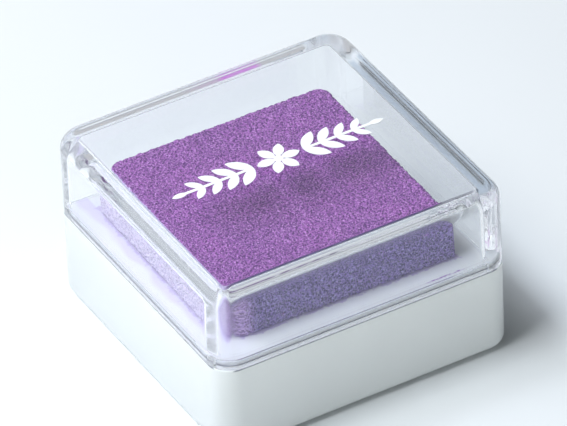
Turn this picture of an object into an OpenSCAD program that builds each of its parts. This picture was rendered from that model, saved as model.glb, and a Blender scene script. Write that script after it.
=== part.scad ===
// Small square ink pad: a white base with a foam pad on its deck, under a clear lift-off lid.
// Frame: origin at the middle of the underside, +Z up, +X along the printed ornament.

/* [Case] */
// Width and depth of the clear lid, over its side walls
case_w = 34; // [32:0.5:40]
// Height of the closed case, without the print on the lid
case_h = 20; // [19:0.5:24]
// Height of the seam between the base and the lid
seam_z = 10.5; // [9:0.25:12]

/* [Lid] */
// Radius of the lid's vertical corners
lid_corner_r = 2.9; // [2.6:0.1:3.5]
// Rounding of the lid's top edge
lid_edge_r = 1.7; // [0.8:0.1:2]
// Thickness of the lid's side walls
lid_wall = 2.15; // [2:0.05:2.5]
// Thickness of the lid's top
lid_top = 1.2; // [1:0.1:1.6]
// Thickness of the rim that stands on the base
rim_wall = 1.2; // [1:0.05:1.3]

/* [Base] */
// Width and depth of the base
base_w = 33.8; // [31.5:0.1:39.5]
// Radius of the base's vertical corners
base_corner_r = 2.4; // [2:0.1:2.8]
// Rounding of the base's bottom edge
base_edge_r = 1.4; // [0.6:0.1:1.8]
// Thickness of the base's side walls
base_wall = 1.5; // [1.3:0.1:1.7]
// Thickness of the base's floor
base_floor = 1.3; // [1:0.1:2]

/* [Deck] */
// Height of the deck that the foam stands on, above the seam
deck_rise = 0.7; // [0.5:0.05:0.9]
// Thickness of the deck's plate
deck_t = 1.6; // [1.2:0.1:2]
// Gap between the deck's edge and the lid's rim
lid_gap = 0.1; // [0.08:0.02:0.2]

/* [Foam] */
// Width and depth of the inked foam
foam_w = 25.4; // [20:0.1:26]
// Thickness of the inked foam
foam_t = 4.1; // [3:0.05:5]
// Rounding of the foam's vertical corners
foam_corner_r = 1.1; // [0.5:0.1:2]
// Thickness of the double-sided tape under the foam
adhesive_t = 0.2; // [0.1:0.05:0.5]

/* [Ornament] */
// Length of the leaf garland printed on the lid
print_l = 24.6; // [20:0.2:25]
// Thickness of the printed ink
print_t = 0.05; // [0.03:0.01:0.1]
// Pairs of leaves on each side of the flower
leaf_pairs = 4; // [2:1:5]

/* [Label] */
// Side of the square paper label under the base
label_w = 20; // [16:1:22]
// Thickness of the label
label_t = 0.15; // [0.1:0.05:0.3]

/* [Hidden] */
$fn = 64;

lid_cavity_w = case_w - 2 * lid_wall;
lid_cavity_r = lid_corner_r - lid_wall;
rim_inner_w = case_w - 2 * rim_wall;
rim_inner_r = lid_corner_r - rim_wall;
deck_w = rim_inner_w - 2 * lid_gap;
deck_r = rim_inner_r - lid_gap;
deck_z = seam_z + deck_rise;
step_z = deck_z + lid_gap;

seat_gap = 0.05;
seat_z = deck_z - deck_t;
seat_w = deck_w + 2 * seat_gap;
seat_r = deck_r + seat_gap;
shell_inner_w = base_w - 2 * base_wall;
shell_inner_r = base_corner_r - base_wall;

skirt_w = shell_inner_w - 2 * seat_gap;
skirt_h = 2;
skirt_t = 1;
rib_t = 0.9;
rib_h = 1.4;
rib_pitch = 9;

adhesive_inset = 0.3;
foam_z = deck_z + adhesive_t;
// The foam is stuck down by hand, a little off the middle and not quite square.
foam_at = [-0.1, 0.2, 0];
foam_turn = -0.8;

recess_gap = 0.3;
recess_h = label_t + 0.15;

flower_petals = 6;
petal_l = 2.1;
petal_w = 1.15;
eye_r = 0.5;
leaf_l = 3;
leaf_w = 1.2;
leaf_tilt = 45;
stem_w = 0.36;
leaf_taper = 0.6;
flower_gap = 2.9;

// Square with round corners, centred on the origin.
module round_square(w, r) {
    side = w - 2 * r;
    square([w, side], center = true);
    square([side, w], center = true);
    for (x = [-1, 1], y = [-1, 1]) translate([x * side / 2, y * side / 2]) circle(r);
}

// Upright block with round vertical corners, from z0 to z1.
module round_block(w, r, z0, z1) {
    translate([0, 0, z0]) linear_extrude(z1 - z0) round_square(w, r);
}

// One quarter of the outline of a corner post, turned into the post: edge_r rounds its top edge.
module corner_post(r, edge_r, h) {
    rotate_extrude() {
        square([r, h - edge_r]);
        square([r - edge_r, h]);
        intersection() {
            translate([r - edge_r, h - edge_r]) circle(edge_r);
            square([r, h]);
        }
    }
}

// Bar along X with the section of a block of depth d whose two top edges are rounded.
module edge_bar(l, d, edge_r, h) {
    rotate([90, 0, 90]) translate([0, 0, -l / 2]) linear_extrude(l) {
        translate([-d / 2, 0]) square([d, h - edge_r]);
        translate([-d / 2 + edge_r, 0]) square([d - 2 * edge_r, h]);
        for (s = [-1, 1]) translate([s * (d / 2 - edge_r), h - edge_r]) circle(edge_r);
    }
}

// Block with round vertical corners and a rounded top edge, from z = 0 up to h.
module soft_block(w, r, edge_r, h) {
    side = w - 2 * r;
    edge_bar(side, w, edge_r, h);
    rotate(90) edge_bar(side, w, edge_r, h);
    for (x = [-1, 1], y = [-1, 1]) translate([x * side / 2, y * side / 2, 0]) corner_post(r, edge_r, h);
}

module base_shell() {
    color("white") difference() {
        translate([0, 0, seam_z]) mirror([0, 0, 1]) soft_block(base_w, base_corner_r, base_edge_r, seam_z);
        round_block(shell_inner_w, shell_inner_r, base_floor, seam_z + 1);
        round_block(seat_w, seat_r, seat_z, seam_z + 1);
        round_block(label_w + 2 * recess_gap, 1, -1, recess_h);
    }
}

module pad_tray() {
    color("whitesmoke") {
        round_block(deck_w, deck_r, seat_z, deck_z);
        difference() {
            round_block(skirt_w, shell_inner_r, seat_z - skirt_h, seat_z);
            round_block(skirt_w - 2 * skirt_t, 0.5, seat_z - skirt_h - 1, seat_z + 1);
        }
        for (turn = [0, 90], s = [-1, 1]) {
            rotate(turn) translate([s * rib_pitch / 2, 0, seat_z - rib_h / 2])
                cube([rib_t, skirt_w - skirt_t, rib_h], center = true);
        }
    }
}

module adhesive_sheet() {
    color("ivory") translate(foam_at) rotate(foam_turn)
        round_block(foam_w - 2 * adhesive_inset, foam_corner_r, deck_z, foam_z);
}

module foam_pad() {
    color([0.58, 0.40, 0.68]) translate(foam_at) rotate(foam_turn)
        round_block(foam_w, foam_corner_r, foam_z, foam_z + foam_t);
}

module lid() {
    color([0.9, 0.95, 0.98, 0.3]) difference() {
        translate([0, 0, seam_z]) soft_block(case_w, lid_corner_r, lid_edge_r, case_h - seam_z);
        round_block(lid_cavity_w, lid_cavity_r, seam_z - 1, case_h - lid_top);
        round_block(rim_inner_w, rim_inner_r, seam_z - 1, step_z);
    }
}

// Pointed leaf along +X from the origin: the overlap of two equal circles.
module leaf(l, w) {
    r = (l * l + w * w) / (4 * w);
    translate([l / 2, 0]) intersection() {
        translate([0, r - w / 2]) circle(r);
        translate([0, w / 2 - r]) circle(r);
    }
}

// Half of the garland along +X: a stem with pairs of leaves that shrink towards its tip.
module garland_half() {
    tip_l = leaf_l * leaf_taper;
    span = print_l / 2 - flower_gap - tip_l;
    pitch = span / leaf_pairs;
    translate([flower_gap, -stem_w / 2]) square([span + tip_l / 2, stem_w]);
    translate([flower_gap + span, 0]) leaf(tip_l, leaf_w * leaf_taper);
    for (i = [0 : leaf_pairs - 1], s = [-1, 1]) {
        size = 1 - (1 - leaf_taper) * i / leaf_pairs;
        translate([flower_gap + i * pitch, 0]) rotate(s * leaf_tilt) leaf(leaf_l * size, leaf_w * size);
    }
}

module lid_print() {
    color("white") translate([0, 0, case_h]) linear_extrude(print_t) {
        garland_half();
        mirror([1, 0]) garland_half();
        circle(eye_r);
        for (i = [0 : flower_petals - 1]) rotate(360 / flower_petals * i)
            translate([eye_r * 0.7, 0]) leaf(petal_l, petal_w);
    }
}

module colour_label() {
    color([0.62, 0.45, 0.72]) round_block(label_w, 1, recess_h - label_t, recess_h);
}

base_shell();
pad_tray();
adhesive_sheet();
foam_pad();
lid();
lid_print();
colour_label();
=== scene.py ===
import math

import bpy
import numpy as np
from mathutils import Matrix, Vector, noise


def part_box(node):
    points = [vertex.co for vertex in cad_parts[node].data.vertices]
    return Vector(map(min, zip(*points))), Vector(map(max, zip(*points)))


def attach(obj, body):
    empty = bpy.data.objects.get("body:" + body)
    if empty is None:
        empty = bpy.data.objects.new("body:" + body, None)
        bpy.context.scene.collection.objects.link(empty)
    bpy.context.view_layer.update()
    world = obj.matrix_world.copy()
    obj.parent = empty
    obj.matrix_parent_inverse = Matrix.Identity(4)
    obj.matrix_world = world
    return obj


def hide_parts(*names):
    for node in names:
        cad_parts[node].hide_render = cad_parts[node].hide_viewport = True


MM = 0.001

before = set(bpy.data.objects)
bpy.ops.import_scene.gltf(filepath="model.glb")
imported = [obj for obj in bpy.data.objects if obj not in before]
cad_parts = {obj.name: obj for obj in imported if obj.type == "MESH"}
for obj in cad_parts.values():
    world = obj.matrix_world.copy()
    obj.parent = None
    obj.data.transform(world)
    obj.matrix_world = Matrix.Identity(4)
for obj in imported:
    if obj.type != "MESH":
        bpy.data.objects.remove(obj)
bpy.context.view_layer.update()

scene = bpy.context.scene

# ---------------------------------------------------------------- sizes, in metres and degrees

# Read from the frame.
LID_HALF, _, LID_TOP_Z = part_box("lid")[1]
BASE_HALF, _, SEAM_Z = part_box("base_shell")[1]
DECK_HALF, _, DECK_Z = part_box("pad_tray")[1]
FOAM_LOW, FOAM_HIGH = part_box("foam_pad")
TAPE_LOW, TAPE_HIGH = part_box("adhesive_sheet")

# Radii, walls and turns, as in the CAD model. A box doesn't give them.
LID_CORNER = 2.9 * MM
LID_EDGE = 1.7 * MM
LID_WALL = 2.15 * MM
LID_PLATE = 1.2 * MM
RIM_WALL = 1.2 * MM
BASE_CORNER = 2.4 * MM
BASE_EDGE = 1.4 * MM
BASE_WALL = 1.5 * MM
BASE_FLOOR = 1.3 * MM
SEAT_DEPTH = 0.9 * MM
SEAT_PLAY = 0.05 * MM
RECESS_HALF = 10.3 * MM
RECESS_DEPTH = 0.3 * MM
RECESS_CORNER = 1 * MM
DECK_CORNER = 1.6 * MM
FOAM_W = 25.4 * MM
FOAM_CORNER = 1.1 * MM
FOAM_TURN = -0.8
TAPE_INSET = 0.3 * MM

# The lid's mould: the draft and the fillet of its core, and how far the core sits off the middle.
LID_DRAFT = 0.8
CEILING_EDGE = 0.25 * MM
CORE_SHIFT = (-0.17 * MM, 0.15 * MM)

# How the closed lid sits here: its step just touches the deck, where the CAD model leaves a gap, and its foot
# stays just clear of the base.
STEP_OVER_DECK = -0.01 * MM
FOOT_OVER_SEAM = 0.02 * MM

# Small roundings that only the visual model has.
LEAST_CORNER = 0.06 * MM
MOULD_EDGE = 0.12 * MM
RIM_EDGE = 0.06 * MM
DECK_EDGE = 0.2 * MM
TAPE_EDGE = 0.06 * MM

# The foam's skin. Its front right corner is nearly square, and its right side leans in towards the top by
# FOAM_LEAN of the half width.
FOAM_SQUARE_CORNER = 0.45 * MM
FOAM_EDGE = 0.22 * MM
FOAM_LEAN = 0.014
FOAM_PITCH = 0.12 * MM
FOAM_CELL = 0.34 * MM
FOAM_MIDDLE = (FOAM_LOW + FOAM_HIGH) / 2
FOAM_PLACE = (Matrix.Translation((FOAM_MIDDLE[0], FOAM_MIDDLE[1], 0))
              @ Matrix.Rotation(math.radians(FOAM_TURN), 4, "Z"))

# ---------------------------------------------------------------- mesh tools

CORNER_STEPS = 48
SIDE_STEPS = 6
ARC_STEPS = 28


def ring(half, radius):
    """Points and outward normals round a square with round corners, always the same number of them."""
    inner = half - radius
    points, normals = [], []
    for corner in range(4):
        start = corner * math.pi / 2
        cx = inner * (1, -1, -1, 1)[corner]
        cy = inner * (1, 1, -1, -1)[corner]
        for i in range(CORNER_STEPS + 1):
            a = start + math.pi / 2 * i / CORNER_STEPS
            points.append((cx + radius * math.cos(a), cy + radius * math.sin(a)))
            normals.append((math.cos(a), math.sin(a)))
        turn = start + math.pi / 2
        end = points[-1]
        along = (-math.sin(turn), math.cos(turn))
        for i in range(1, SIDE_STEPS):
            t = 2 * inner * i / SIDE_STEPS
            points.append((end[0] + along[0] * t, end[1] + along[1] * t))
            normals.append((math.cos(turn), math.sin(turn)))
    return points, normals


class Profile:
    """A path of (half width, height) with its outward direction, from which a square shell is lofted."""

    def __init__(self):
        self.steps = []

    def point(self, half, z, out, up, radius):
        self.steps.append((half, z, out, up, radius))

    def arc(self, half, z, r, start, end, corner):
        """Arc about (half, z). Degrees: 0 outward, 90 up. corner(half) gives the plan radius.
        A negative r turns the normals towards the centre, for an inside corner."""
        sign = 1 if r > 0 else -1
        for i in range(ARC_STEPS + 1):
            a = math.radians(start + (end - start) * i / ARC_STEPS)
            c, s = math.cos(a), math.sin(a)
            h = half + abs(r) * c
            self.point(h, z + abs(r) * s, sign * c, sign * s, corner(h))


def loft(name, profile):
    """A mesh through all steps of a profile, with a cap on each end."""
    verts, normals, faces = [], [], []
    count = len(ring(1, 0.5)[0])
    for half, z, out, up, radius in profile.steps:
        points, sides = ring(half, radius)
        verts += [(x, y, z) for x, y in points]
        normals += [(out * nx, out * ny, up) for nx, ny in sides]
    rings = len(profile.steps)
    for r in range(rings - 1):
        a, b = r * count, (r + 1) * count
        faces += [(a + i, a + (i + 1) % count, b + (i + 1) % count, b + i) for i in range(count)]
    faces.append(tuple(range(count - 1, -1, -1)))
    faces.append(tuple(range((rings - 1) * count, rings * count)))
    mesh = bpy.data.meshes.new(name)
    mesh.from_pydata(verts, [], faces)
    mesh.validate()
    for polygon in mesh.polygons:
        polygon.use_smooth = True
    mesh.normals_split_custom_set_from_vertices([Vector(n).normalized() for n in normals])
    obj = bpy.data.objects.new(name, mesh)
    scene.collection.objects.link(obj)
    return obj


def plan_radius(outer_half, outer_radius):
    """Corner radius at any half width of a shell whose walls are even."""
    return lambda half: max(outer_radius - (outer_half - half), LEAST_CORNER)


# ---------------------------------------------------------------- node tools


class Nodes:
    """Short calls for building the node tree of one material, or of the world."""

    def __init__(self, owner, output="ShaderNodeOutputMaterial"):
        self.owner = owner
        owner.use_nodes = True
        self.tree = owner.node_tree
        self.tree.nodes.clear()
        self.out = self.add(output)

    def add(self, kind, **settings):
        node = self.tree.nodes.new(kind)
        for key, value in settings.items():
            setattr(node, key, value)
        return node

    def link(self, source, target):
        self.tree.links.new(source, target)

    def set(self, socket, value):
        """Links a socket to a socket, or gives it a plain value."""
        if isinstance(value, bpy.types.NodeSocket):
            self.link(value, socket)
        else:
            socket.default_value = value

    def put(self, node, **values):
        """Sets sockets by name, with underscores for spaces."""
        for key, value in values.items():
            self.set(node.inputs[key.replace("_", " ")], value)

    def coords(self):
        """The place on the object, in millimetres."""
        scale = self.add("ShaderNodeVectorMath", operation="SCALE")
        self.link(self.add("ShaderNodeTexCoord").outputs["Object"], scale.inputs[0])
        scale.inputs["Scale"].default_value = 1 / MM
        return scale.outputs[0]

    def split(self, vector):
        node = self.add("ShaderNodeSeparateXYZ")
        self.link(vector, node.inputs[0])
        return node.outputs

    def around_foam(self, vector):
        """The same place, seen from the middle of the foam and turned with it."""
        node = self.add("ShaderNodeMapping", vector_type="TEXTURE")
        self.put(node, Vector=vector, Location=(FOAM_MIDDLE[0] / MM, FOAM_MIDDLE[1] / MM, 0.0))
        self.put(node, Rotation=(0.0, 0.0, math.radians(FOAM_TURN)))
        return node.outputs[0]

    def noise(self, vector, period, detail=2.0, rough=0.5):
        """Smooth noise, 0 to 1, whose lumps are about one period across, in millimetres."""
        node = self.add("ShaderNodeTexNoise")
        self.put(node, Vector=vector, Scale=1 / period, Detail=detail, Roughness=rough)
        return node.outputs["Fac"]

    def cells(self, vector, period):
        """Distance from the nearest cell's centre, in periods."""
        node = self.add("ShaderNodeTexVoronoi")
        self.put(node, Vector=vector, Scale=1 / period, Randomness=1.0)
        return node.outputs["Distance"]

    def math(self, operation, *values):
        node = self.add("ShaderNodeMath", operation=operation)
        for socket, value in zip(node.inputs, values):
            self.set(socket, value)
        return node.outputs[0]

    def times(self, first, *others):
        for other in others:
            first = self.math("MULTIPLY", first, other)
        return first

    def square(self, x, y):
        """Half width of the square round the middle that runs through this place."""
        return self.math("MAXIMUM", self.math("ABSOLUTE", x), self.math("ABSOLUTE", y))

    def from_core(self, x, y):
        """The same for the lid's cavity, which sits a little off the middle."""
        across = self.math("SUBTRACT", x, CORE_SHIFT[0] / MM)
        along = self.math("SUBTRACT", y, CORE_SHIFT[1] / MM)
        return self.square(across, along)

    def fit(self, value, low, high, to_low=0.0, to_high=1.0):
        """Maps low to to_low and high to to_high, and holds them outside."""
        node = self.add("ShaderNodeMapRange", clamp=True)
        self.put(node, Value=value, From_Min=low, From_Max=high, To_Min=to_low, To_Max=to_high)
        return node.outputs[0]

    def band(self, value, rise, fall):
        """0, then 1 past the rise, then 0 again past the fall. Each of the two is (from, to)."""
        return self.times(self.fit(value, *rise), self.fit(value, *fall, 1.0, 0.0))

    def mix(self, factor, a, b):
        node = self.add("ShaderNodeMix", data_type="RGBA")
        self.set(node.inputs[0], factor)
        for socket, colour in zip((node.inputs[6], node.inputs[7]), (a, b)):
            self.set(socket, (*colour, 1.0) if isinstance(colour, tuple) else colour)
        return node.outputs[2]

    def bump(self, height, distance, strength):
        node = self.add("ShaderNodeBump")
        self.put(node, Height=height, Distance=distance, Strength=strength)
        return node.outputs[0]

    def by_ray(self, kind, shader, otherwise):
        """One shader for the rays of a kind, such as shadow rays, and another for all others."""
        node = self.add("ShaderNodeMixShader")
        self.link(self.add("ShaderNodeLightPath").outputs[kind], node.inputs[0])
        self.link(otherwise, node.inputs[1])
        self.link(shader, node.inputs[2])
        return node.outputs[0]

    def surface(self, shader):
        self.link(shader, self.out.inputs["Surface"])
        return self.owner


def new_material(name):
    return Nodes(bpy.data.materials.new(name))


# ---------------------------------------------------------------- materials, with places in millimetres


def clear_plastic():
    """Clear acrylic, a little rough at its upright corners. The inner edge of the ceiling is tinted dark, a
    painted dark reflection.
    """
    n = new_material("clear_acrylic")
    x, y, z = n.split(n.coords())
    inner = (LID_HALF - LID_WALL) / MM
    ceiling = (LID_TOP_Z - LID_PLATE) / MM
    corner = LID_HALF / MM - 2.0
    # Painted reflection: a dark greyish violet tint along the ceiling's inner edge stands for the dark
    # surroundings seen in it.
    high = n.band(z, (ceiling - 0.22, ceiling - 0.14), (ceiling + 0.05, ceiling + 0.1))
    near = n.band(n.from_core(x, y), (inner - 0.25, inner - 0.12), (inner + 0.1, inner + 0.2))
    tint = n.mix(n.times(high, near), (0.985, 0.992, 1.0), (0.50, 0.47, 0.56))
    both = n.math("MINIMUM", n.math("ABSOLUTE", x), n.math("ABSOLUTE", y))
    rough = n.fit(both, corner - 0.3, corner + 0.3, 0.02, 0.2)
    glass = n.add("ShaderNodeBsdfPrincipled")
    n.put(glass, Base_Color=tint, Roughness=rough, IOR=1.49, Transmission_Weight=1.0)
    # Light that falls through the lid isn't bent, so that what lies inside is lit without noise.
    through = n.add("ShaderNodeBsdfTransparent")
    n.put(through, Color=(0.93, 0.94, 0.95, 1.0))
    shader = n.by_ray("Is Diffuse Ray", through.outputs[0], glass.outputs[0])
    return n.surface(n.by_ray("Is Shadow Ray", through.outputs[0], shader))


def moulded_white(n, p, dark, light, stains_and_painted_light, glow, reach):
    """Shared look of the white mouldings: faint clouds, a fine grain, and the stains and painted light and
    shade that are asked for.
    """
    cloud = n.fit(n.noise(p, 8.0, 3.0), 0.3, 0.7)
    colour = n.mix(cloud, dark, light)
    for mask, tint in stains_and_painted_light:
        colour = n.mix(mask, colour, tint)
    shader = n.add("ShaderNodeBsdfPrincipled")
    n.put(shader, Base_Color=colour, Roughness=n.fit(cloud, 0.0, 1.0, 0.30, 0.38), IOR=1.5)
    n.put(shader, Normal=n.bump(n.noise(p, 0.4, 2.0), 0.02 * MM, 0.15))
    shader.subsurface_method = "RANDOM_WALK"
    n.put(shader, Subsurface_Weight=glow, Subsurface_Scale=reach)
    n.put(shader, Subsurface_Radius=(1.0, 0.95, 0.9))
    return n.surface(shader.outputs[0])


def base_plastic():
    """White, greyed towards the floor by painted shade. Painted shade also darkens the seam's outer edge, the
    gap at the front and the back of the ring that the lid stands on, and painted light and shade even out the
    ring's right side.
    An ink smudge lies on the back of the ring."""
    n = new_material("white_base_plastic")
    p = n.coords()
    x, y, z = n.split(p)
    half = n.square(x, y)
    seam = SEAM_Z / MM
    wall = BASE_HALF / MM
    foot = (LID_HALF - RIM_WALL) / MM
    side = 15.0
    ring_top = n.times(n.fit(z, seam - 0.05, seam - 0.02), n.fit(half, foot, foot + 0.05))
    behind = n.times(ring_top, n.fit(y, side, side + 0.7))
    # Painted shade: the back of the ring under the lid's wall is greyed.
    painted_shade_rear = n.times(behind, 0.85)
    smudge = n.math("MAXIMUM", n.fit(x, 4.0, 5.0), n.fit(x, 0.0, 4.8, 0.0, 0.35))
    smudge = n.times(smudge, n.fit(x, 8.8, 9.6, 1.0, 0.0), behind)
    smudge = n.times(smudge, n.fit(n.noise(p, 1.0, 2.0), 0.35, 0.6, 0.65, 1.0))
    # Painted light and shade: on the right of the ring, mid grey outside and near white inside, where the
    # deck's edge casts its shadow, to even out the shading.
    right = n.times(ring_top, n.fit(x, side, side + 0.7))
    painted_light_right = n.times(right, n.fit(x, foot + 0.15, foot + 0.45, 1.0, 0.0))
    # Painted shade: greyer towards the floor, as the front face falls darker.
    painted_shade_low = n.fit(z, 1.0, 9.5, 0.42, 0.0)
    # Painted shade: a dark line on the outer top edge, in the groove under the lid's foot.
    lip = n.times(n.fit(z, seam - 0.20, seam - 0.10, 0.0, 0.95), n.fit(half, wall - 0.2, wall - 0.1))
    # Painted shade: a dark line in the gap by the deck, at the front.
    gap = n.times(n.fit(z, seam - 0.05, seam - 0.02, 0.0, 0.8), n.fit(y, -side - 0.2, -side + 0.2, 1.0, 0.0))
    gap = n.times(gap, n.fit(half, foot - 0.02, foot + 0.06, 1.0, 0.0))
    stains_and_painted_light = [
        (painted_shade_rear, (0.50, 0.47, 0.45)),
        (smudge, (0.62, 0.20, 0.66)),
        (right, (0.62, 0.68, 0.74)),
        (painted_light_right, (0.95, 0.98, 1.0)),
        (painted_shade_low, (0.50, 0.53, 0.55)),
        (lip, (0.16, 0.17, 0.21)),
        (gap, (0.20, 0.20, 0.27)),
    ]
    return moulded_white(n, p, (0.76, 0.79, 0.79), (0.79, 0.82, 0.82), stains_and_painted_light, 0.25, 0.7 * MM)


def deck_plastic():
    """White like the base, with ink that has bled from the foam and been rubbed along the lid's wall. Painted
    shade darkens its left side, its top front edge and its foot, and joins the ink bleed at the foam's foot.
    """
    n = new_material("white_deck_plastic")
    p = n.coords()
    x, y, z = n.split(p)
    fx, fy, _ = n.split(n.around_foam(p))
    foam = FOAM_W / 2 / MM
    edge = -DECK_HALF / MM
    wall = (LID_HALF - LID_WALL) / MM + 0.1
    seam = SEAM_Z / MM
    top = DECK_Z / MM

    outward = n.math("SUBTRACT", n.square(fx, fy), foam)
    ragged = n.fit(n.noise(p, 0.9, 3.0, 0.7), 0.35, 0.7, -0.1, 0.55)
    # At the foam's foot: ink bleed, with painted contact shade.
    bleed_and_shade = n.fit(n.math("SUBTRACT", outward, ragged), -0.12, 0.12, 0.7, 0.0)
    wander = n.times(n.noise(p, 1.6, 2.0), 1.6)
    haze = n.fit(n.math("SUBTRACT", outward, wander), -0.6, 1.0, 0.16, 0.0)
    left = n.math("SUBTRACT", n.times(fx, -1.0), foam)
    lobes = n.fit(n.noise(p, 5.5, 1.0), 0.3, 0.7, 0.7, 2.1)
    stain = n.fit(n.math("SUBTRACT", left, lobes), -0.35, 0.25, 0.75, 0.0)
    stain = n.times(stain, n.fit(left, -0.1, 0.1), n.fit(fy, -foam, 1.5 - foam))

    rub = n.math("ABSOLUTE", n.math("SUBTRACT", n.from_core(x, y), wall))
    line = n.fit(rub, 0.04, 0.12, 0.25, 0.0)
    streak = n.times(n.fit(rub, 0.07, 0.20, 1.0, 0.0), n.fit(n.noise(p, 0.45, 2.0), 0.40, 0.52))
    streak = n.times(streak, n.band(x, (7.4, 8.4), (11.4, 12.2)))
    streak = n.times(streak, n.fit(y, 0.5 - wall, 0.6 - wall, 1.0, 0.0))
    # Painted shade: a dark band at the deck's foot, in the crevice by the base.
    foot = n.fit(z, seam + 0.03, seam + 0.10, 0.8, 0.0)
    # Painted shade: the top front edge of the deck is greyed, in place of its highlight.
    painted_shade_edge = n.times(n.fit(z, top - 0.5, top - 0.2, 0.0, 0.5), n.fit(y, edge + 0.1, edge + 0.8, 1.0, 0.0))
    # Painted shade: the left side of the deck is darkened, in a lavender tint.
    painted_shade_left = n.fit(x, edge - 0.3, edge + 4.7, 0.35, 0.0)
    stains_and_painted_light = [
        (painted_shade_left, (0.62, 0.60, 0.82)),
        (haze, (0.62, 0.55, 0.86)),
        (stain, (0.60, 0.52, 0.84)),
        (bleed_and_shade, (0.45, 0.33, 0.68)),
        (painted_shade_edge, (0.50, 0.53, 0.60)),
        (line, (0.35, 0.33, 0.42)),
        (streak, (0.30, 0.15, 0.45)),
        (foot, (0.20, 0.20, 0.27)),
    ]
    return moulded_white(n, p, (0.755, 0.775, 0.80), (0.785, 0.805, 0.83), stains_and_painted_light, 0.8, 3.2 * MM)


def inked_foam():
    """Fine open-celled foam, soaked violet: magenta on top and bluer down its sides. Painted light makes the
    left end of its front rosy and its left side pale; painted shade darkens its pits, and painted highlights
    brighten its flecks."""
    n = new_material("inked_foam")
    p = n.coords()
    hollow = n.cells(p, 0.26)
    fleck = n.noise(p, 0.17, 2.0, 0.6)
    blotch = n.fit(n.noise(p, 3.5, 3.0), 0.35, 0.65)
    ragged = n.fit(fleck, 0.3, 0.7, -0.2, 0.2)
    sideways, _, upward = n.split(n.add("ShaderNodeNewGeometry").outputs["Normal"])
    from_left = n.math("ADD", n.split(n.around_foam(p))[0], FOAM_W / 2 / MM)
    facing_up = n.fit(n.math("ADD", upward, ragged), 0.4, 0.75)
    # Painted light: faces turned to the left, towards the lamps, are pale.
    lit_left = n.fit(n.math("ADD", sideways, ragged), -0.95, -0.55, 1.0, 0.0)
    # Painted light: the left end of the front, where its round corner turns towards the lamps, is rosy and
    # brighter.
    lit_corner = n.fit(n.math("ADD", from_left, n.fit(fleck, 0.3, 0.7, -0.5, 0.5)), 1.2, 2.3, 0.85, 0.0)

    def tones(side, lit_corner_tone, lit_left_tone, top):
        colour = n.mix(lit_corner, side, lit_corner_tone)
        colour = n.mix(lit_left, colour, lit_left_tone)
        return n.mix(facing_up, colour, top)

    side_colour = n.mix(blotch, (0.25, 0.172, 0.53), (0.29, 0.20, 0.58))
    top_colour = n.mix(blotch, (0.34, 0.115, 0.43), (0.42, 0.135, 0.50))
    body = tones(side_colour, (0.60, 0.39, 0.82), (0.78, 0.70, 0.93), top_colour)
    # Painted shade: dark in the cells' pits and on the low flecks.
    pit_shade = tones((0.055, 0.04, 0.14), (0.22, 0.12, 0.36), (0.45, 0.36, 0.64), (0.11, 0.02, 0.17))
    # Painted highlights: bright on the high flecks.
    fleck_highlight = tones((0.54, 0.47, 0.84), (0.92, 0.66, 0.97), (0.84, 0.73, 0.91), (0.80, 0.42, 0.88))
    colour = n.mix(n.fit(hollow, 0.28, 0.60), pit_shade, body)
    colour = n.mix(n.fit(fleck, 0.52, 0.66, 0.0, 0.8), colour, fleck_highlight)
    colour = n.mix(n.fit(fleck, 0.34, 0.47, 0.6, 0.0), colour, pit_shade)
    height = n.math("ADD", n.fit(hollow, 0.0, 0.7), n.times(n.fit(fleck, 0.3, 0.7), 0.5))
    shader = n.add("ShaderNodeBsdfPrincipled")
    n.put(shader, Base_Color=colour, Roughness=0.6, IOR=1.4)
    n.put(shader, Normal=n.bump(height, 0.12 * MM, 0.8))
    return n.surface(shader.outputs[0])


def grainy(name, dark, light, period, roughness, relief, detail=2.0, strength=0.3):
    """A thin matt layer with a fine grain."""
    n = new_material(name)
    grain = n.noise(n.coords(), period, detail)
    shader = n.add("ShaderNodeBsdfPrincipled")
    n.put(shader, Base_Color=n.mix(n.fit(grain, 0.3, 0.7), dark, light), Roughness=roughness)
    n.put(shader, Normal=n.bump(grain, relief, strength))
    return n.surface(shader.outputs[0])


def print_ink():
    return grainy("white_screen_print", (0.88, 0.91, 0.93), (0.94, 0.96, 0.97),
                  period=0.33, roughness=0.45, relief=0.01 * MM)


def sticky_tape():
    return grainy("double_sided_tape", (0.78, 0.74, 0.90), (0.84, 0.81, 0.93),
                  period=0.3, roughness=0.5, relief=0.03 * MM, strength=0.5)


def label_paper():
    return grainy("label_paper", (0.33, 0.13, 0.43), (0.37, 0.16, 0.47),
                  period=0.45, roughness=0.55, relief=0.02 * MM, detail=4.0)


def floor_paper():
    n = new_material("pale_floor")
    shader = n.add("ShaderNodeBsdfPrincipled")
    colour = n.mix(n.noise(n.coords(), 33.0, 2.0), (0.80, 0.83, 0.845), (0.82, 0.85, 0.865))
    n.put(shader, Base_Color=colour, Roughness=0.6)
    return n.surface(shader.outputs[0])


# ---------------------------------------------------------------- pieces


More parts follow.
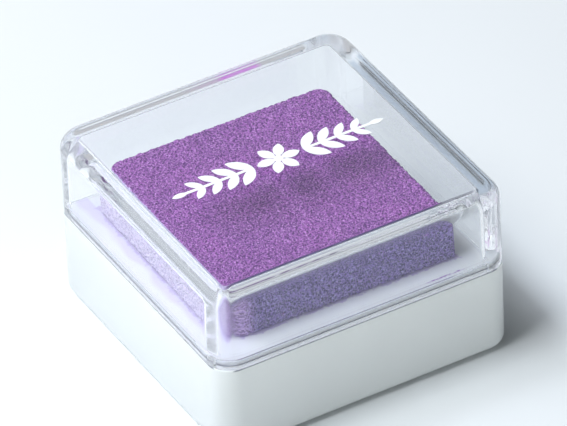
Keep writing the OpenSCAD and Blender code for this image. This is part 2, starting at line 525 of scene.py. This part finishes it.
def loft_lid():
    """One closed skin: from the ceiling down the drafted inner wall, under the rim, and up the outside."""
    corner = plan_radius(LID_HALF, LID_CORNER)
    f, r = CEILING_EDGE, RIM_EDGE
    bottom = SEAM_Z + FOOT_OVER_SEAM
    step = DECK_Z + STEP_OVER_DECK
    ceiling = LID_TOP_Z - LID_PLATE
    inner = LID_HALF - LID_WALL
    mouth = inner + (ceiling - step) * math.tan(math.radians(LID_DRAFT))
    rim = LID_HALF - RIM_WALL
    path = Profile()
    path.arc(inner - f, ceiling - f, -f, 90, LID_DRAFT, corner)
    path.arc(mouth + r, step + r, r, 180 + LID_DRAFT, 270, corner)
    path.arc(rim - r, step - r, -r, 90, 0, corner)
    path.arc(rim + r, bottom + r, r, 180, 270, corner)
    path.arc(LID_HALF - r, bottom + r, r, -90, 0, corner)
    path.arc(LID_HALF - LID_EDGE, LID_TOP_Z - LID_EDGE, LID_EDGE, 0, 90, corner)
    lid = loft("clear_lid", path)
    for vertex in lid.data.vertices:
        if max(abs(vertex.co.x), abs(vertex.co.y)) < rim - r and vertex.co.z < LID_TOP_Z - LID_PLATE / 2:
            vertex.co.x += CORE_SHIFT[0]
            vertex.co.y += CORE_SHIFT[1]
    return lid


def loft_base():
    """From the label's recess round the outside, over the seam's ring, and down through the seat to the
    inner floor."""
    corner = plan_radius(BASE_HALF, BASE_CORNER)
    e, r = MOULD_EDGE, RIM_EDGE
    seat = DECK_HALF + SEAT_PLAY
    seat_z = SEAM_Z - SEAT_DEPTH
    inner = BASE_HALF - BASE_WALL
    path = Profile()
    path.point(RECESS_HALF, RECESS_DEPTH, 0, -1, RECESS_CORNER)
    path.point(RECESS_HALF, RECESS_DEPTH, -1, 0, RECESS_CORNER)
    path.arc(RECESS_HALF + r, r, r, 180, 270, lambda half: RECESS_CORNER)
    path.arc(BASE_HALF - BASE_EDGE, BASE_EDGE, BASE_EDGE, -90, 0, corner)
    path.arc(BASE_HALF - e, SEAM_Z - e, e, 0, 90, corner)
    path.arc(seat + r, SEAM_Z - r, r, 90, 180, corner)
    path.point(seat, seat_z, -1, 0, corner(seat))
    path.point(seat, seat_z, 0, 1, corner(seat))
    path.point(inner, seat_z, 0, 1, corner(inner))
    path.point(inner, seat_z, -1, 0, corner(inner))
    path.point(inner, BASE_FLOOR, -1, 0, corner(inner))
    path.point(inner, BASE_FLOOR, 0, 1, corner(inner))
    return loft("base_cup", path)


def loft_deck():
    """The tray's plate. Its skirt and ribs are shut inside the base and aren't drawn."""
    corner = plan_radius(DECK_HALF, DECK_CORNER)
    e = DECK_EDGE
    low = SEAM_Z - SEAT_DEPTH
    path = Profile()
    path.point(DECK_HALF, low, 0, -1, corner(DECK_HALF))
    path.point(DECK_HALF, low, 1, 0, corner(DECK_HALF))
    path.arc(DECK_HALF - e, DECK_Z - e, e, 0, 90, corner)
    return loft("deck_plate", path)


def loft_tape():
    half = FOAM_W / 2 - TAPE_INSET
    corner = plan_radius(half, FOAM_CORNER)
    e = TAPE_EDGE
    path = Profile()
    path.arc(half - e, TAPE_LOW[2] + e, e, -90, 0, corner)
    path.arc(half - e, TAPE_HIGH[2] - e, e, 0, 90, corner)
    tape = loft("sticky_tape", path)
    tape.data.transform(FOAM_PLACE)
    return tape


def block_grid(size, pitch):
    """Grid over the top and the four sides of a block, and one face below. Corners run from 0 to size."""
    counts = [max(2, round(s / pitch)) for s in size]
    nx, ny, nz = counts
    index, verts, faces = {}, [], []

    def vert(*key):
        if key not in index:
            index[key] = len(verts)
            verts.append([size[a] * key[a] / counts[a] for a in range(3)])
        return index[key]

    for i in range(nx):
        for j in range(ny):
            faces.append([vert(i, j, nz), vert(i + 1, j, nz), vert(i + 1, j + 1, nz), vert(i, j + 1, nz)])
    for k in range(nz):
        for i in range(nx):
            faces.append([vert(i, 0, k), vert(i + 1, 0, k), vert(i + 1, 0, k + 1), vert(i, 0, k + 1)])
            faces.append([vert(i, ny, k), vert(i, ny, k + 1), vert(i + 1, ny, k + 1), vert(i + 1, ny, k)])
        for j in range(ny):
            faces.append([vert(0, j, k), vert(0, j, k + 1), vert(0, j + 1, k + 1), vert(0, j + 1, k)])
            faces.append([vert(nx, j, k), vert(nx, j + 1, k), vert(nx, j + 1, k + 1), vert(nx, j, k + 1)])
    rim = [vert(i, 0, 0) for i in range(nx)] + [vert(nx, j, 0) for j in range(ny)]
    rim += [vert(i, ny, 0) for i in range(nx, 0, -1)] + [vert(0, j, 0) for j in range(ny, 0, -1)]
    faces.append(rim[::-1])
    return np.array(verts), faces


def round_corners(square):
    """Bends places on a square to round corners. Also gives the way outward at each place, how far it is
    in from the outline, and how far it is into a corner, from 0 to 1."""
    sign = np.where(square < 0, -1, 1)
    flat = np.abs(square)
    front_right = (square[:, :1] > 0) & (square[:, 1:] < 0)
    radius = np.where(front_right, FOAM_SQUARE_CORNER, FOAM_CORNER)
    core = FOAM_W / 2 - radius
    part = np.clip((flat - core) / radius, 0, 1)
    bent = core + radius * part * np.sqrt(1 - part[:, ::-1] ** 2 / 2)
    flat = np.where((part > 0).all(axis=1, keepdims=True), bent, flat)
    over = np.maximum(flat - core, 0)
    length = np.linalg.norm(over, axis=1)
    out = sign * over / np.maximum(length, 1e-9)[:, None]
    inward = np.maximum(radius[:, 0] - length, 0)
    return sign * flat, out, inward, part.min(axis=1)


def round_top_edge(plan, z, out, inward):
    """Rolls the top edge over. Gives each place and the way that the surface faces there."""
    top, edge = FOAM_HIGH[2], FOAM_EDGE
    below = top - z
    side = below > 0
    lean = np.where(side, 1 + np.minimum(below / edge, 1), 1 - np.minimum(inward / edge, 1))
    turn = lean * math.pi / 4
    near = np.where(side, below < edge, inward < edge)
    level = np.where(near, top - edge * (1 - np.cos(turn)), z)
    pull = np.where(near, edge * (1 - np.sin(turn)) - np.where(side, 0.0, inward), 0.0)
    places = np.column_stack([plan - out * pull[:, None], level])
    facing = np.column_stack([out * np.sin(turn)[:, None], np.cos(turn)])
    return places, facing


def cell_height(place):
    """Height of the skin over the smooth foam, in millimetres: one pit for each cell, on gentle waves."""
    depth, wave, ripple = 0.22, 0.06, 0.10
    v = Vector(place / MM)
    pit = min(noise.voronoi(v / (FOAM_CELL / MM))[0][0], 0.7)
    return depth * pit - depth / 2 + wave * noise.noise(v * 1.6) + ripple * noise.noise(v * 5.3)


def foam_block():
    """The foam's skin: a dense grid bent to round corners and soft top edges, then pitted by its cells."""
    size = (FOAM_W, FOAM_W, FOAM_HIGH[2] - FOAM_LOW[2])
    verts, faces = block_grid(size, FOAM_PITCH)
    plan, out, inward, corner = round_corners(verts[:, :2] - FOAM_W / 2)
    places, facing = round_top_edge(plan, verts[:, 2] + FOAM_LOW[2], out, inward)
    height = np.array([cell_height(place) for place in places]) * (1 - 0.7 * np.clip(3 * corner, 0, 1))
    places += facing * height[:, None] * MM
    low = np.clip((FOAM_HIGH[2] - places[:, 2]) / size[2], 0, 1)
    places[:, 0] *= np.where(places[:, 0] > 0, 1 - FOAM_LEAN * (1 - low), 1)
    places[:, 2] = np.maximum(places[:, 2], FOAM_LOW[2])
    mesh = bpy.data.meshes.new("foam_block")
    mesh.from_pydata(places.tolist(), [], faces)
    mesh.transform(FOAM_PLACE)
    for polygon in mesh.polygons:
        polygon.use_smooth = True
    obj = bpy.data.objects.new("foam_block", mesh)
    scene.collection.objects.link(obj)
    return obj


# ---------------------------------------------------------------- scene


def camera():
    """A long lens, as for a small object photographed from well away."""
    azimuth, elevation, roll = math.radians(-28.68), math.radians(37.33), math.radians(-2.63)
    target = Vector((0.949, 1.179, 11.953)) * MM
    distance = 818 * MM
    back = Vector((math.sin(azimuth) * math.cos(elevation), -math.cos(azimuth) * math.cos(elevation),
                   math.sin(elevation)))
    data = bpy.data.cameras.new("camera")
    data.sensor_width = 36
    data.lens = 512.4
    data.clip_start, data.clip_end = 0.05, 10
    obj = bpy.data.objects.new("camera", data)
    scene.collection.objects.link(obj)
    turn = (-back).to_track_quat("-Z", "Y").to_matrix().to_4x4()
    obj.matrix_world = Matrix.Translation(target + back * distance) @ turn @ Matrix.Rotation(roll, 4, "Z")
    scene.camera = obj


LIGHT_DISTANCE = 0.5


def softbox(name, azimuth, elevation, size, power, colour):
    """Area light that faces the origin. Azimuth is counted from +X towards +Y. It lights the surfaces, but
    no reflection shows it, and neither does the clear plastic."""
    a, e = math.radians(azimuth), math.radians(elevation)
    way = Vector((math.cos(a) * math.cos(e), math.sin(a) * math.cos(e), math.sin(e)))
    data = bpy.data.lights.new(name, "AREA")
    data.shape = "RECTANGLE"
    data.size, data.size_y = size
    data.energy = power
    data.color = colour
    obj = bpy.data.objects.new(name, data)
    scene.collection.objects.link(obj)
    obj.location = way * LIGHT_DISTANCE
    obj.rotation_euler = (-way).to_track_quat("-Z", "Y").to_euler()
    obj.visible_glossy = False
    obj.visible_transmission = False


def surroundings():
    """Pale walls for the clear plastic to show, brightest at the left front. They barely light the rest."""
    world = bpy.data.worlds.new("studio")
    n = Nodes(world, "ShaderNodeOutputWorld")
    x, y, _ = n.split(n.add("ShaderNodeTexCoord").outputs["Generated"])
    lean = n.math("MULTIPLY_ADD", y, 0.8, x)
    seen = n.add("ShaderNodeBackground")
    n.put(seen, Color=n.mix(n.fit(lean, -1.0, 0.7), (0.80, 0.83, 0.84), (0.46, 0.51, 0.58)))
    faint = n.add("ShaderNodeBackground")
    n.put(faint, Color=(0.90, 0.96, 1.0, 1.0), Strength=0.01)
    n.surface(n.by_ray("Is Diffuse Ray", faint.outputs[0], seen.outputs[0]))
    scene.world = world


def floor():
    half = 0.6
    mesh = bpy.data.meshes.new("floor")
    corners = [(-half, -half, 0), (half, -half, 0), (half, half, 0), (-half, half, 0)]
    mesh.from_pydata(corners, [], [(0, 1, 2, 3)])
    obj = bpy.data.objects.new("floor", mesh)
    scene.collection.objects.link(obj)
    dress(obj, floor_paper())


def studio():
    surroundings()
    softbox("window_far", 128, 52, (0.18, 0.18), 1.15, (0.92, 0.93, 1.0))
    softbox("window_near", 178, 57, (0.25, 0.15), 1.95, (0.93, 0.97, 1.0))
    softbox("window_high", 170, 80, (0.18, 0.18), 0.34, (0.93, 0.96, 1.0))
    softbox("window_low", 160, 36, (0.26, 0.12), 0.22, (0.95, 1.0, 0.97))
    softbox("front_low", 262, 8, (0.26, 0.18), 0.50, (0.98, 1.0, 0.96))
    softbox("front_high", 258, 34, (0.26, 0.18), 0.08, (0.98, 1.0, 0.98))
    floor()


def dress(obj, material):
    obj.data.materials.clear()
    obj.data.materials.append(material)


def place(piece, node, body, slot, material):
    dress(piece, material)
    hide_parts(node)
    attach(piece, body)


def build():
    place(loft_lid(), "lid", "lid", "clear_plastic", clear_plastic())
    place(loft_base(), "base_shell", "base", "base_plastic", base_plastic())
    place(loft_deck(), "pad_tray", "base", "deck_plastic", deck_plastic())
    place(loft_tape(), "adhesive_sheet", "base", "adhesive", sticky_tape())
    foam = foam_block()
    place(foam, "foam_pad", "base", "inked_foam", inked_foam())
    dress(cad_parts["lid_print"], print_ink())
    dress(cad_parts["colour_label"], label_paper())


scene.view_settings.view_transform = "Standard"
# Thick clear walls bounce light many times before it leaves them.
scene.cycles.max_bounces = 96
scene.cycles.transmission_bounces = 96
scene.cycles.glossy_bounces = 96
scene.cycles.transparent_max_bounces = 32
build()
camera()
studio()
